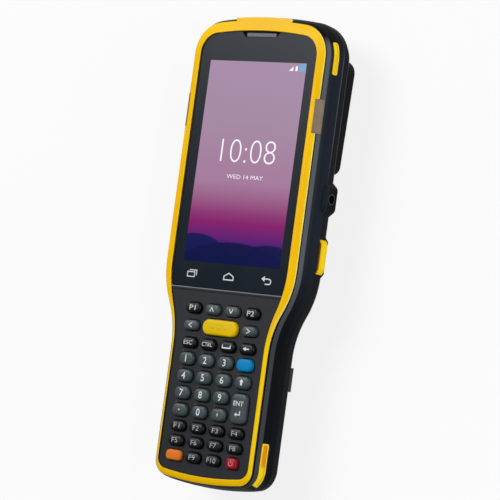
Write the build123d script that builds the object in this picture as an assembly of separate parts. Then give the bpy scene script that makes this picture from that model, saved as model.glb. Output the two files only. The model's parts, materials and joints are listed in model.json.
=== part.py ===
# Hand-held data collector: a rugged pocket computer with a touch display, a keypad on its waisted
# handle, scan triggers on both sides and a battery that clips into the back of the handle.
# Millimetres. The device lies on its back: +Z out of the display, +Y towards its top end, +X to the
# right of the display. The origin is the centre of the outline, on the plane that it rests on.
from math import acos, asin, degrees, sqrt
import os

from build123d import *

# display, glass and ring, from the display's active area outwards
display_w = 56.2
display_h = 93.65
glass_side = 5.5
glass_top = 14.35
nav_strip = 11.7
ring_side = 4.1
ring_grip = 2.1
ring_top = 4.9
ring_bottom = 2.9
shoulder = 3.1
shoulder_top = 2.8
shoulder_bottom = 2.0

# keypad: four columns, and rows stacked downwards from the bar under the glass
column_pitch = 11.25
key_gap = 2.64
bar_gap = 0.3
bar_w = 1.3
key_field_top = 5.7
key_field_side = 3.8
key_field_bottom = 5.7
row_gap = 2.1
slim_key_h = 4.7
number_key_h = 5.8
scan_key_h = 7.2
function_key_h = 4.6
last_key_h = 4.8

# outline of the case
top_bow = 200.0
bottom_bow = 160.0
top_corner = 17.6
bottom_corner = 10.1
ring_top_corner = 9.5
ring_bottom_corner = 5.2
waist_start = 0.3
waist_length = 38.7

# depths, from the plane that the case rests on
rest_depth = 5.5
rear_depth = 15.0
front_depth = 10.0
wall = 2.0
deck_drop = 0.7
deck_t = 1.6
glass_t = 1.2
ring_lip = 0.9
tab_half = 15.6
tab_t = 1.3
tab_end = 1.3
fascia_t = 1.3
ring_rise = 0.3
ring_crown = 1.0
ring_ledge = 0.5
key_rise = 1.9
fit_gap = 0.1

# keys
key_travel = 0.6
key_flange = 0.4
key_flange_t = 0.8
key_slot_gap = 0.2
key_edge = 0.55
board_t = 1.0

# side parts
side_reach = 1.5
trigger_l = 15.7
trigger_h = 4.8
trigger_up = 7.85
trigger_reach = 1.0
trigger_travel = 1.0
trigger_gap = 0.25
trigger_flank = 0.8
trigger_end_l = 2.2
trigger_end_t = 1.2
trigger_flange = 0.6
trigger_slack = 1.5
pad_slope = 2.2
pad_chamfer = 1.2
pad_end = 0.4
pad_lip = 0.7
trigger_pad_h = 7.0
jack_up = 34.3
jack_drop = 3.0
jack_bore_r = 2.0
jack_r = 2.7
jack_l = 14.0
boss_l = 11.1
boss_run = 3.1
boss_reach = 4.1
boss_round = 2.6
boss_h = 7.6
boss_rise = 2.6
boss_slope = 1.4
lamp_l = 15.5
lamp_down = 23.6
lamp_in = 2.3
left_lamp_in = 3.3
inlay_w = 2.5
inlay_l = 14.8
inlay_down = 18.6
inlay_drop = 5.1
inlay_corner = 0.9
inlay_t = 1.2
inlay_rim = 0.6
lower_inlay_w = 3.3
lower_inlay_drop = 3.9
lower_inlay_up = 23.9
lower_inlay_x = 27.2

# back parts
hump_w = 70.4
hump_l = 53.8
hump_down = 15.4
hump_taper = 1.4
hump_corner = 6.5
hump_foot_corner = 4.2
hump_root = 6.0
hump_edge_z = 2.5
hump_draft = 0.5
hump_bevel = 3.2
bay_depth = 4.5
bay_neck = 2.0
bay_end = 6.8
latch_l = 11.0
latch_h = 4.0
latch_reach = 0.3
latch_travel = 1.0
latch_down = 9.5
screw_r = 1.0
screw_head_r = 2.0
screw_head_t = 1.3
screw_hex_r = 0.7
post_r = 3.3
boss_r = 2.2
upper_screw_in = 13.0
upper_screw_down = 12.0
upper_screw_deep = 3.0
middle_screw_in = 6.4
middle_screw_up = 21.5
middle_screw_deep = 7.0
grip_screw_in = 5.1
grip_screw_top = 5.0
grip_screw_bottom = 7.5

# inner parts
receiver_half = 7.6
receiver_w = 2.0
notch_half = 11.3
notch_foot_half = 8.8
notch_depth = 3.1
standoff_r = 1.6
lcd_border = 2.6
lcd_foot = 7.0
lcd_t = 2.5
board_z = 3.4
can_t = 1.8
shield_cans = [(-15.0, 60.0, 24.0, 26.0), (13.0, 62.0, 20.0, 20.0), (-12.0, 25.0, 28.0, 22.0)]
engine_w = 22.0
engine_l = 12.0
engine_h = 9.0
window_w = 30.0
window_h = 7.5
window_t = 1.4
window_recess = 1.6
camera_r = 4.5
camera_x = -18.0
camera_down = 31.0
camera_half = 5.5
camera_sink = 0.8
lens_r = 2.5
speaker_r = 8.0
speaker_t = 3.5
grille_slots = 5
grille_pitch = 2.4
grille_w = 1.2
grille_l = 8.0
contact_count = 8
contact_pitch = 2.5
contact_r = 0.8
contact_l = 4.0

# sizes that follow from the ones above
key_rows = [slim_key_h, scan_key_h, slim_key_h] + [number_key_h] * 4 + [function_key_h] * 2 + [last_key_h]
key_gaps = [row_gap] * (len(key_rows) - 1)
length = (shoulder_top + ring_top + glass_top + display_h + nav_strip + bar_gap + bar_w + key_field_top
          + sum(key_rows) + sum(key_gaps) + key_field_bottom + ring_bottom + shoulder_bottom)
top_end = length / 2
bottom_end = -length / 2
glass_half = display_w / 2 + glass_side
fascia_half = 2 * column_pitch + key_field_side
body_half = glass_half + ring_side + shoulder
handle_half = fascia_half + ring_grip + shoulder
glass_end = top_end - shoulder_top - ring_top
fascia_end = bottom_end + shoulder_bottom + ring_bottom
display_y = glass_end - glass_top
display_bottom = display_y - display_h
glass_foot = display_bottom - nav_strip
fascia_head = glass_foot - bar_gap
waist_top = display_bottom - waist_start
waist_bottom = waist_top - waist_length
back_z = rest_depth
seam_z = back_z + rear_depth
rim_z = seam_z + front_depth
deck_z = rim_z - deck_drop
deck_under = deck_z - deck_t
glass_z = deck_z + glass_t
fascia_z = deck_z + fascia_t
key_z = fascia_z + key_rise
bay_z = seam_z - bay_depth
bay_top = waist_bottom + bay_neck
bay_bottom = bottom_end + bay_end
side_x = body_half + side_reach
trigger_x = body_half + trigger_reach

# places of the inner parts and of the parts in the sides and ends
lcd_low = display_bottom - lcd_foot
lcd_high = display_y + lcd_border
receiver_high = glass_end - 0.6
receiver_low = receiver_high - receiver_w
standoff_x = body_half - 7.3
standoff_y = [display_bottom + 4.0, display_y - 30.0]
lamp_y = display_y - lamp_down
lamp_x = glass_half + lamp_in
left_lamp_x = glass_half + left_lamp_in
ring_slope = ring_crown / (ring_side - 0.5)
inlay_z = rim_z - inlay_drop
lower_inlay_z = rim_z - lower_inlay_drop
upper_inlay_y = top_end - inlay_down
lower_inlay_y = bottom_end + lower_inlay_up
trigger_y = display_bottom + trigger_up
trigger_z = seam_z - 0.3 - trigger_h / 2
jack_y = display_bottom + jack_up
jack_z = seam_z - jack_drop
engine_z = back_z + wall + 1.5
engine_high = top_end - 8.0
window_z = seam_z - 1.5 - window_h / 2
window_y = top_end - window_recess
contact_y = bottom_end + 0.4
contact_z = seam_z - 5.0
contact_x = [(index - (contact_count - 1) / 2) * contact_pitch for index in range(contact_count)]
speaker_y = display_bottom + 22.0
camera_y = top_end - camera_down
latch_y = waist_bottom - latch_down
latch_z = bay_z - 2.5

# The case's outline at each depth: height, then how far the display's sides, the handle's sides, the
# top end and the bottom end lie inside the widest outline, and how much tighter the corners are.
# The ring leaves a narrow ledge of the rim free along the handle.
front_levels = [
    (seam_z, 0, 0, 0, 0, 0),
    (seam_z + 0.37 * front_depth, 0.4, 0.4, 0.3, 0.3, 0.4),
    (seam_z + 0.8 * front_depth, 1.8, 1.8, 1.5, 1.2, 1.8),
    (rim_z, shoulder, shoulder, shoulder_top, shoulder_bottom, shoulder),
]
ring_level = (rim_z, shoulder, shoulder + ring_ledge, shoulder_top, shoulder_bottom, shoulder)
rear_levels = [
    (seam_z, 0, 0, 0, 0, 0),
    (seam_z - 0.3 * rear_depth, 0.6, 0.7, 0.3, 0.5, 0.3),
    (seam_z - 0.57 * rear_depth, 3.2, 3.6, 1.6, 2.0, 1.6),
    (seam_z - 0.83 * rear_depth, 6.6, 6.9, 4.0, 4.2, 3.2),
    (back_z, 9.0, 9.1, 6.8, 6.2, 4.4),
]
grip_levels = rear_levels[:4] + [
    (back_z - 0.3 * rest_depth, 9.8, 10.4, 9.0, 7.0, 4.8),
    (0, 14.0, 14.6, 12.0, 9.5, 5.4),
]


# The battery's side at the latch lies between the second and the third depth.
side_level, lower_level = rear_levels[1:3]
latch_part = (latch_z - lower_level[0]) / (side_level[0] - lower_level[0])
latch_side = handle_half - lower_level[2] - latch_part * (side_level[2] - lower_level[2])
latch_x = latch_side + latch_reach
latch_inner = latch_x - 5.0


def arc(centre, radius, start, end):
    return CenterArc(centre, radius, start, end - start)


# Waisted outline, symmetrical about the Y axis: bowed ends, rounded corners, and on each side two
# equal tangent arcs that step in from the display's width to the handle's.
def outline(upper, handle, top, bottom, upper_corner, lower_corner):
    upper_y = top - top_bow + sqrt((top_bow - upper_corner) ** 2 - (upper - upper_corner) ** 2)
    upper_angle = degrees(acos((upper - upper_corner) / (top_bow - upper_corner)))
    lower_y = bottom + bottom_bow - sqrt((bottom_bow - lower_corner) ** 2 - (handle - lower_corner) ** 2)
    lower_angle = degrees(acos((handle - lower_corner) / (bottom_bow - lower_corner)))
    step = upper - handle
    bend = (step ** 2 + waist_length ** 2) / (4 * step)
    waist_angle = degrees(asin(waist_length / 2 / bend))
    half = [
        arc((0, top - top_bow), top_bow, 90, upper_angle),
        arc((upper - upper_corner, upper_y), upper_corner, upper_angle, 0),
        Line((upper, upper_y), (upper, waist_top)),
        arc((upper - bend, waist_top), bend, 0, -waist_angle),
        arc((handle + bend, waist_bottom), bend, 180 - waist_angle, 180),
        Line((handle, waist_bottom), (handle, lower_y)),
        arc((handle - lower_corner, lower_y), lower_corner, 0, -lower_angle),
        arc((0, bottom + bottom_bow), bottom_bow, -lower_angle, -90),
    ]
    other = [edge.mirror(Plane.YZ) for edge in reversed(half)]
    return Face(Wire(half + other))


def case_outline(level, inset=0.0):
    z, side, grip, top, bottom, tighter = level
    face = outline(body_half - side - inset, handle_half - grip - inset, top_end - top - inset,
                   bottom_end + bottom + inset, top_corner - tighter - inset,
                   bottom_corner - tighter - inset)
    return Pos(0, 0, z) * face


# Outline of the ring's inside edge, grown outwards by a margin.
def ring_inside(margin=0.0):
    return outline(glass_half + margin, fascia_half + margin, glass_end + margin, fascia_end - margin,
                   ring_top_corner + margin, ring_bottom_corner + margin)


def faceted(levels, inset=0.0):
    return loft([case_outline(level, inset) for level in levels], ruled=True)


def at_height(level, z):
    return (z,) + level[1:]


def block(low_x, high_x, low_y, high_y, low_z, high_z):
    size = (high_x - low_x, high_y - low_y, high_z - low_z)
    centre = ((low_x + high_x) / 2, (low_y + high_y) / 2, (low_z + high_z) / 2)
    return Pos(*centre) * Box(*size)


def prism(face, low_z, high_z):
    return extrude(Pos(0, 0, low_z) * face, amount=high_z - low_z, dir=(0, 0, 1))


def rod(radius, x, y, low_z, high_z):
    return Pos(x, y, (low_z + high_z) / 2) * Cylinder(radius, high_z - low_z)


def side_rod(radius, y, z, low_x, high_x):
    return Pos((low_x + high_x) / 2, y, z) * Rot(0, 90, 0) * Cylinder(radius, high_x - low_x)


def mirrored(shape):
    return mirror(shape, Plane.YZ)


# Round-cornered bar that runs along X and is long in Y.
def side_bar(low_y, high_y, z, high, corner, low_x, high_x):
    middle = Plane.YZ.offset(low_x) * Pos((low_y + high_y) / 2, z)
    face = middle * RectangleRounded(high_y - low_y, high, corner)
    return extrude(face, amount=high_x - low_x, dir=(1, 0, 0))


# A round-cornered pad that stands out of the right side of the rear shell.
def side_pad(long, run, slope, y, low_z, high_z, reach, round_r=0.0):
    low_y = y - long / 2
    high_y = y + long / 2
    inner_x = body_half - wall - slope
    points = [(inner_x, low_y - run), (reach - slope, low_y - run), (reach, low_y + pad_end),
              (reach, high_y - pad_end), (reach - slope, high_y + run), (inner_x, high_y + run)]
    face = make_face(Polyline(points, close=True))
    if round_r:
        face = fillet(face.vertices().group_by(Axis.X)[-1], round_r)
    return prism(face, low_z, high_z)


def outer_edges(pad, level, reach):
    edges = pad.edges().group_by(Axis.Z)[level]
    return edges.filter_by_position(Axis.X, reach - pad_slope / 2, reach)


# Screws: place of each on the right side, the height of its head's seat, and the height that its
# thread reaches in the front shell.
upper_screw = (body_half - upper_screw_in, top_end - upper_screw_down, back_z + upper_screw_deep, deck_under)
middle_screw = (body_half - middle_screw_in, display_bottom + middle_screw_up, seam_z - middle_screw_deep,
                deck_under)
grip_screws = [(handle_half - grip_screw_in, y, bay_z + screw_head_t, deck_under)
               for y in (bay_top - grip_screw_top, bay_bottom + grip_screw_bottom)]
right_screws = [upper_screw, middle_screw] + grip_screws
screw_places = [(side * x, y, seat, reach) for x, y, seat, reach in right_screws for side in (1, -1)]

# Keys: name, place and size. The first key row is the highest.
key_edges = [fascia_head - bar_w - key_field_top]
for row_h, gap in zip(key_rows, key_gaps):
    key_edges.append(key_edges[-1] - row_h - gap)
row_y = [edge - row_h / 2 for edge, row_h in zip(key_edges, key_rows)]
column_x = [(index - 1.5) * column_pitch for index in range(4)]
key_w = column_pitch - key_gap
wide_key_w = key_w + 0.5
power_key_w = key_w - 2.5
enter_h = 2 * number_key_h + row_gap
enter_y = (row_y[5] + row_y[6]) / 2
slim_corner = 2.3
number_corner = 2.6
square_corner = 1.4
keys = {
    "key_scan": (0, row_y[1], column_pitch + key_w + 0.1, scan_key_h, scan_key_h / 2),
    "key_blue": (column_x[3], row_y[3], wide_key_w, number_key_h, number_corner),
    "key_enter": (column_x[3], enter_y, wide_key_w, enter_h, number_corner),
    "key_orange": (column_x[0], row_y[9], key_w + 0.4, last_key_h, slim_corner - 0.3),
    "key_power": (column_x[3], row_y[9], power_key_w, last_key_h + 0.2, square_corner),
}
key_grid = [
    (0, slim_key_h, slim_corner, ["p1", "up", "down", "p2"]),
    (1, slim_key_h, slim_corner, ["left", None, None, "right"]),
    (2, slim_key_h, slim_corner, ["esc", "ctrl", "space", "backspace"]),
    (3, number_key_h, number_corner, ["1", "2", "3", None]),
    (4, number_key_h, number_corner, ["4", "5", "6", "shift"]),
    (5, number_key_h, number_corner, ["7", "8", "9", None]),
    (6, number_key_h, number_corner, ["dot", "0", "comma", None]),
    (7, function_key_h, slim_corner, ["f1", "f2", "f3", "f4"]),
    (8, function_key_h, slim_corner, ["f5", "f6", "f7", "f8"]),
    (9, function_key_h, slim_corner, [None, "f9", "f10", None]),
]
for row, height, corner, names in key_grid:
    for x, name in zip(column_x, names):
        if name:
            keys["key_" + name] = (x, row_y[row], key_w, height, corner)


# Places that follow from the keys: the window under the keypad, and the board's posts.
key_window_half = column_x[3] + wide_key_w / 2 + key_flange + 0.3
key_window_high = key_edges[0] + key_flange + 0.3
key_window_low = key_edges[-1] - last_key_h - key_flange - 0.3


def key_face(place, margin=0.0):
    x, y, width, height, corner = place
    radius = min(corner, height / 2 - 0.05) + margin
    return Pos(x, y) * RectangleRounded(width + 2 * margin, height + 2 * margin, radius)


def key(place):
    flange_top = deck_z - fit_gap
    cap = prism(key_face(place), flange_top, key_z)
    cap = fillet(cap.faces().sort_by(Axis.Z)[-1].edges(), key_edge)
    return cap + prism(key_face(place, key_flange), flange_top - key_flange_t, flange_top)


def ring_tab(margin=0.0):
    tab = prism(outline(body_half, handle_half, top_end - tab_end + margin, bottom_end, top_corner,
                        bottom_corner), rim_z - tab_t - margin, rim_z + ring_rise)
    reach = block(-tab_half - margin, tab_half + margin, glass_end + ring_top / 2, top_end + 1,
                  rim_z - tab_t - margin, rim_z + ring_rise)
    return tab & reach


def lamp(inner_x, grow=0.0):
    rim_x = body_half - shoulder
    inner_z = rim_z + ring_rise + ring_slope * (rim_x - inner_x)
    points = [(inner_x - grow, inner_z + 0.1), (rim_x, rim_z + ring_rise + 0.1),
              (body_half - 1.8 + 0.15, seam_z + 0.8 * front_depth), (rim_x + 0.4, rim_z - 2.8 - grow),
              (inner_x - grow, rim_z - 1.6 - grow)]
    face = Plane.XZ * make_face(Polyline(points, close=True))
    return Pos(0, lamp_y + lamp_l / 2 + grow, 0) * extrude(face, amount=lamp_l + 2 * grow, dir=(0, -1, 0))


def upper_inlay_bar(grow):
    half = inlay_l / 2 + grow
    return side_bar(upper_inlay_y - half, upper_inlay_y + half, inlay_z, inlay_w + 2 * grow,
                    inlay_corner + grow, body_half / 2, side_x)


def lower_inlay_bar(grow):
    return side_bar(bottom_end - 3, lower_inlay_y + grow, lower_inlay_z, lower_inlay_w + 2 * grow,
                    inlay_corner + grow, lower_inlay_x - grow, side_x)


inlay_bars = [upper_inlay_bar, lower_inlay_bar]


def front_housing():
    jack_pad = side_pad(boss_l, boss_run, boss_reach, jack_y, seam_z, seam_z + boss_rise, side_x, boss_round)
    jack_pad = chamfer(outer_edges(jack_pad, -1, side_x), boss_slope)
    outside = faceted(front_levels)
    inside = front_levels[:2] + [at_height(front_levels[2], deck_under)]
    window_half = display_w / 2 + lcd_border + fit_gap
    cuts = [
        faceted(inside, wall),
        prism(case_outline(at_height(ring_level, 0), ring_lip), deck_z, rim_z + 1),
        block(-window_half, window_half, lcd_low - fit_gap, lcd_high + fit_gap, deck_under - 1, deck_z),
        block(-key_window_half, key_window_half, key_window_low, key_window_high, deck_under - 1, deck_z),
        block(-receiver_half - fit_gap, receiver_half + fit_gap, receiver_low - fit_gap,
              receiver_high + fit_gap, deck_under - 1, deck_z),
    ]
    shell = outside + jack_pad - cuts
    posts = [rod(standoff_r, side * standoff_x, y, deck_under - board_z, deck_under)
             for y in standoff_y for side in (1, -1)]
    posts += [rod(boss_r, x, y, seam_z, reach) for x, y, seat, reach in screw_places]
    shell += [post & outside for post in posts]
    pockets = [bar(0.05) - faceted(front_levels, inlay_t) for bar in inlay_bars]
    cuts = [rod(screw_r + 0.05, x, y, seam_z - 1, reach - 1.0) for x, y, seat, reach in screw_places]
    cuts += [ring_tab(0.05), lamp(lamp_x, 0.05), mirrored(lamp(left_lamp_x, 0.05))]
    cuts += pockets + [mirrored(pocket) for pocket in pockets]
    return shell - cuts


def bezel_ring():
    lip = prism(case_outline(at_height(ring_level, 0)), rim_z, rim_z + ring_rise)
    crown = loft([case_outline(at_height(ring_level, rim_z + ring_rise)),
                  Pos(0, 0, rim_z + ring_rise + ring_crown) * ring_inside(0.5)], ruled=True)
    body = prism(case_outline(at_height(ring_level, 0), ring_lip + fit_gap), deck_z, rim_z)
    ring = body + lip + crown + ring_tab()
    ring -= prism(ring_inside(), deck_z - 1, rim_z + 3)
    ring -= lamp(lamp_x, 0.05)
    ring -= mirrored(lamp(left_lamp_x, 0.05))
    return ring


def touch_glass():
    glass = prism(ring_inside(-fit_gap), deck_z, glass_z)
    glass &= block(-body_half, body_half, glass_foot, top_end, deck_z, glass_z)
    half = [(notch_foot_half, glass_end - notch_depth), (notch_half, glass_end - 0.5),
            (notch_half, glass_end + 1)]
    notch = half + [(-x, y) for x, y in reversed(half)]
    return glass - prism(make_face(Polyline(notch, close=True)), deck_z, glass_z)


def display_module():
    half = display_w / 2 + lcd_border
    return block(-half, half, lcd_low, lcd_high, deck_z - lcd_t, deck_z)


def keypad_fascia():
    plate = prism(ring_inside(-fit_gap), deck_z, fascia_z)
    plate &= block(-body_half, body_half, bottom_end, fascia_head, deck_z, fascia_z)
    bar = prism(ring_inside(-fit_gap), fascia_z, fascia_z + 0.4)
    plate += bar & block(-body_half, body_half, fascia_head - bar_w, fascia_head, fascia_z, fascia_z + 0.4)
    return plate - [prism(key_face(place, key_slot_gap), deck_z, fascia_z) for place in keys.values()]


def keypad_board():
    half = key_window_half + 0.8
    board = block(-half, half, key_window_low - 0.8, key_window_high + 0.8, deck_under - board_t, deck_under)
    for x, y, seat, reach in screw_places:
        board -= rod(post_r - 1.1 + 0.2, x, y, seam_z, rim_z)
    return board


def main_board():
    board_high = deck_under - board_z
    half = standoff_x + standoff_r
    board = block(-half, half, display_bottom - 6.0, display_y - 16.0, board_high - board_t, board_high)
    for x, y, seat, reach in screw_places:
        board -= rod(post_r + 0.3, x, y, seam_z, rim_z)
    for x, up, can_w, can_l in shield_cans:
        y = display_bottom + up
        board += block(x - can_w / 2, x + can_w / 2, y - can_l / 2, y + can_l / 2,
                       board_high, board_high + can_t)
    return board


def hump_section(z, inset):
    half = hump_w / 2 - inset
    high_y = top_end - hump_down - inset
    low_y = top_end - hump_down - hump_l + inset
    points = [(hump_taper - half, low_y), (half - hump_taper, low_y), (half, high_y), (-half, high_y)]
    face = make_face(Polyline(points, close=True))
    face = fillet(face.vertices().group_by(Axis.Y)[-1], hump_corner - inset / 2)
    face = fillet(face.vertices().group_by(Axis.Y)[0], hump_foot_corner - inset / 2)
    return Pos(0, 0, z) * face


def hump(inset=0.0):
    levels = ((back_z + hump_root, 0), (hump_edge_z, hump_draft), (0, hump_bevel))
    return loft([hump_section(max(z, inset), tighter + inset) for z, tighter in levels], ruled=True)


def rear_housing():
    outside = faceted(rear_levels)
    floor_z = back_z + wall
    pad_x = trigger_x - pad_lip
    trigger_pad = side_pad(trigger_l, pad_slope, pad_slope, trigger_y, seam_z - trigger_pad_h, seam_z, pad_x)
    trigger_pad = chamfer(outer_edges(trigger_pad, 0, pad_x), pad_chamfer)
    jack_pad = side_pad(boss_l, boss_run, boss_reach, jack_y, seam_z - boss_h, seam_z, side_x, boss_round)
    jack_pad = chamfer(outer_edges(jack_pad, 0, side_x), pad_chamfer)
    shell = outside + [hump(), trigger_pad, mirrored(trigger_pad), jack_pad]
    inside = rear_levels[:3] + [at_height(rear_levels[3], floor_z)]
    hollow = faceted(inside, wall) - block(-body_half, body_half, bottom_end, bay_top + wall, 0, bay_z + wall)
    bay = block(-body_half, body_half, bay_bottom, bay_top, -1, bay_z)
    shell -= [hollow, hump(wall), bay]
    posts = []
    holes = []
    for x, y, seat, reach in screw_places:
        posts.append(rod(post_r, x, y, bay_z if seat > bay_z else back_z, seam_z) & outside)
        holes.append(rod(screw_head_r + 0.15, x, y, -1, seat))
        holes.append(rod(screw_r + 0.05, x, y, seat - 1, seam_z + 1))
    for side in (1, -1):
        x = side * (engine_w / 2 - 2)
        posts.append(block(x - 1.5, x + 1.5, engine_high - engine_l, engine_high, floor_z - 0.5, engine_z))
    shell += posts
    trigger_slot = trigger_block(trigger_gap, body_half - wall - 3, side_x + 1)
    trigger_slot += Pos(0, 0, trigger_h / 2) * trigger_slot  # open towards the seam
    holes += [trigger_slot, mirrored(trigger_slot)]
    holes.append(side_rod(jack_r + 0.05, jack_y, jack_z, side_x - jack_l - 2, side_x + 1))
    holes.append(block(-window_w / 2 - 0.05, window_w / 2 + 0.05, top_end - 8, top_end + 1,
                       window_z - window_h / 2 - 0.05, window_z + window_h / 2 + 0.05))
    holes.append(rod(camera_r + 0.1, camera_x, camera_y, -1, wall + 1))
    for index in range(grille_slots):
        x = (index - (grille_slots - 1) / 2) * grille_pitch
        holes.append(block(x - grille_w / 2, x + grille_w / 2, speaker_y - grille_l / 2,
                           speaker_y + grille_l / 2, back_z - 1, floor_z + 0.1))
    holes += [contact_rod(x, contact_r + 0.03, bottom_end - 1, contact_y + contact_l) for x in contact_x]
    return shell - holes


def contact_rod(x, radius, low_y, high_y):
    return Pos(x, (low_y + high_y) / 2, contact_z) * Rot(90, 0, 0) * Cylinder(radius, high_y - low_y)


def trigger_block(grow, low_x, high_x):
    return block(low_x, high_x, trigger_y - trigger_l / 2 - grow, trigger_y + trigger_l / 2 + grow,
                 trigger_z - trigger_h / 2 - grow, trigger_z + trigger_h / 2 + grow)


def trigger_right():
    inner_x = body_half - wall - trigger_slack
    half = [(inner_x, trigger_l / 2), (trigger_x - trigger_end_t, trigger_l / 2),
            (trigger_x, trigger_l / 2 - trigger_end_l)]
    points = half + [(x, -y) for x, y in reversed(half)]
    face = Pos(0, trigger_y) * make_face(Polyline(points, close=True))
    button = prism(face, trigger_z - trigger_h / 2, trigger_z + trigger_h / 2)
    end_x = trigger_x - 0.9 * trigger_end_t
    outer = button.edges().group_by(Axis.Z)[-1].filter_by_position(Axis.X, end_x, trigger_x)
    return chamfer(outer, trigger_flank) + trigger_block(trigger_flange, inner_x - 1.0, inner_x)


def headset_jack():
    barrel = side_rod(jack_r, jack_y, jack_z, side_x - jack_l - 1.5, side_x - 0.3)
    return barrel - side_rod(jack_bore_r, jack_y, jack_z, side_x - 0.3 - jack_l, side_x + 1)


def indicator_windows():
    return Compound([lamp(lamp_x), mirrored(lamp(left_lamp_x))])


def corner_inlays():
    bars = []
    for bar in inlay_bars:
        solid = (bar(0) & faceted(front_levels, -0.25)) - faceted(front_levels, inlay_t)
        solid -= bar(-inlay_rim) - faceted(front_levels, 0.1)
        bars += [solid, mirrored(solid)]
    return Compound(bars)


def scan_engine():
    return block(-engine_w / 2, engine_w / 2, engine_high - engine_l, engine_high, engine_z,
                 engine_z + engine_h)


def scan_window():
    return block(-window_w / 2, window_w / 2, window_y - window_t, window_y, window_z - window_h / 2,
                 window_z + window_h / 2)


def latch_block(grow, low_x, high_x):
    return block(low_x, high_x, latch_y - latch_l / 2 - grow, latch_y + latch_l / 2 + grow,
                 latch_z - latch_h / 2 - grow, latch_z + latch_h / 2 + grow)


def battery_latch_right():
    latch = latch_block(0, latch_inner, latch_x)
    return fillet(latch.faces().sort_by(Axis.X)[-1].edges(), 0.5)


def battery_pack():
    pack = faceted(grip_levels) & block(-handle_half, handle_half, bay_bottom + 0.3, bay_top - 0.3,
                                        0, bay_z - 0.2)
    ramp = [(bay_top, back_z), (bay_top - 8.0, -0.01), (bay_top, -0.01)]
    face = Plane.YZ.offset(-handle_half) * make_face(Polyline(ramp, close=True))
    pack -= extrude(face, amount=2 * handle_half, dir=(1, 0, 0))
    pocket = latch_block(0.25, latch_inner - latch_travel - 0.3, latch_x + 1)
    return pack - pocket - mirrored(pocket)


def camera_module():
    module = rod(camera_r, camera_x, camera_y, camera_sink, back_z + 3)
    module += block(camera_x - camera_half, camera_x + camera_half, camera_y - camera_half,
                    camera_y + camera_half, wall, back_z + 3)
    return module - rod(lens_r, camera_x, camera_y, camera_sink - 1, camera_sink + 0.8)


def speakers():
    floor_z = back_z + wall
    loudspeaker = rod(speaker_r, 0, speaker_y, floor_z, floor_z + speaker_t)
    receiver = block(-receiver_half, receiver_half, receiver_low, receiver_high, deck_under, deck_z + 0.3)
    return Compound([loudspeaker, receiver])


def housing_screws():
    screws = []
    for x, y, seat, reach in screw_places:
        screw = rod(screw_r, x, y, seat - 0.1, reach - 1.5)
        screw += rod(screw_head_r, x, y, seat - screw_head_t, seat)
        screws.append(screw - rod(screw_hex_r, x, y, seat - screw_head_t - 1, seat - 0.5))
    return Compound(screws)


def dock_contacts():
    return Compound([contact_rod(x, contact_r, contact_y, contact_y + contact_l) for x in contact_x])


nodes = {
    "front_housing": front_housing(),
    "rear_housing": rear_housing(),
    "bezel_ring": bezel_ring(),
    "touch_glass": touch_glass(),
    "display_module": display_module(),
    "keypad_fascia": keypad_fascia(),
    "keypad_board": keypad_board(),
    "main_board": main_board(),
    "scan_engine": scan_engine(),
    "scan_window": scan_window(),
    "trigger_right": trigger_right(),
    "trigger_left": mirrored(trigger_right()),
    "indicator_windows": indicator_windows(),
    "corner_inlays": corner_inlays(),
    "headset_jack": headset_jack(),
    "battery_pack": battery_pack(),
    "battery_latch_right": battery_latch_right(),
    "battery_latch_left": mirrored(battery_latch_right()),
    "camera_module": camera_module(),
    "speakers": speakers(),
    "housing_screws": housing_screws(),
    "dock_contacts": dock_contacts(),
}
for name, place in keys.items():
    nodes[name] = key(place)

os.makedirs("parts", exist_ok=True)
for name, shape in nodes.items():
    export_step(shape, "parts/" + name + ".step")
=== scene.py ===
import json
import math

import bmesh
import bpy
from mathutils import Matrix, Vector


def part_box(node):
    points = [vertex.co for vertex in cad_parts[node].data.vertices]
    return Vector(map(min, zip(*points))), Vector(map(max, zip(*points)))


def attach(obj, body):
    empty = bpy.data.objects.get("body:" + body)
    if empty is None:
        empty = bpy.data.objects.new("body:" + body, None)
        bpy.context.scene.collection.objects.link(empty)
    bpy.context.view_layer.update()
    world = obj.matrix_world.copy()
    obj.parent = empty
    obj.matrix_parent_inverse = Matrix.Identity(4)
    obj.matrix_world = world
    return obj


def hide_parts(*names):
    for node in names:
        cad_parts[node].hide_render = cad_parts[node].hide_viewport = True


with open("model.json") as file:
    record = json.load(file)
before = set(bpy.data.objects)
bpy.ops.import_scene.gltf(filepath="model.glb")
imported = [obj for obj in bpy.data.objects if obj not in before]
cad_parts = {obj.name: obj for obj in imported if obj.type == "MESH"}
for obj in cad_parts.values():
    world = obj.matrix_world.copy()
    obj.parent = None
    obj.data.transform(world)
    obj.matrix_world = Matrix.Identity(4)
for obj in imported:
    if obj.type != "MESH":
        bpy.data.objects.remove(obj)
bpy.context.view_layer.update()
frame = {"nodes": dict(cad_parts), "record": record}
mm = 0.001
print("frame loaded:", len(frame["nodes"]), "nodes")


def hexColour(text):   # sRGB hex to linear RGBA
    parts = [int(text[i:i + 2], 16) / 255 for i in (0, 2, 4)]
    return [c / 12.92 if c <= 0.04045 else ((c + 0.055) / 1.055) ** 2.4 for c in parts] + [1]


def addNode(tree, kind, settings=None, links=None):   # one node, with its values and its incoming links
    node = tree.nodes.new(kind)
    for key, value in (settings or {}).items():
        if key == "stops":   # of a colour ramp: place and hex colour of each
            ramp = node.color_ramp
            while len(ramp.elements) < len(value):
                ramp.elements.new(0.5)
            for element, (place, colour) in zip(ramp.elements, value):
                element.position = place
                element.color = hexColour(colour)
        elif isinstance(key, int) or key in node.inputs:
            node.inputs[key].default_value = value
        else:
            setattr(node, key, value)
    for key, source in (links or {}).items():
        tree.links.new(source, node.inputs[key])
    return node


def newTree(name):
    material = bpy.data.materials.new(name)
    material.use_nodes = True
    material.node_tree.nodes.clear()
    return material, material.node_tree


bevelSamples = 6
facingRadius = 0.45 * mm   # which way a surface faces is taken over this width


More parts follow.
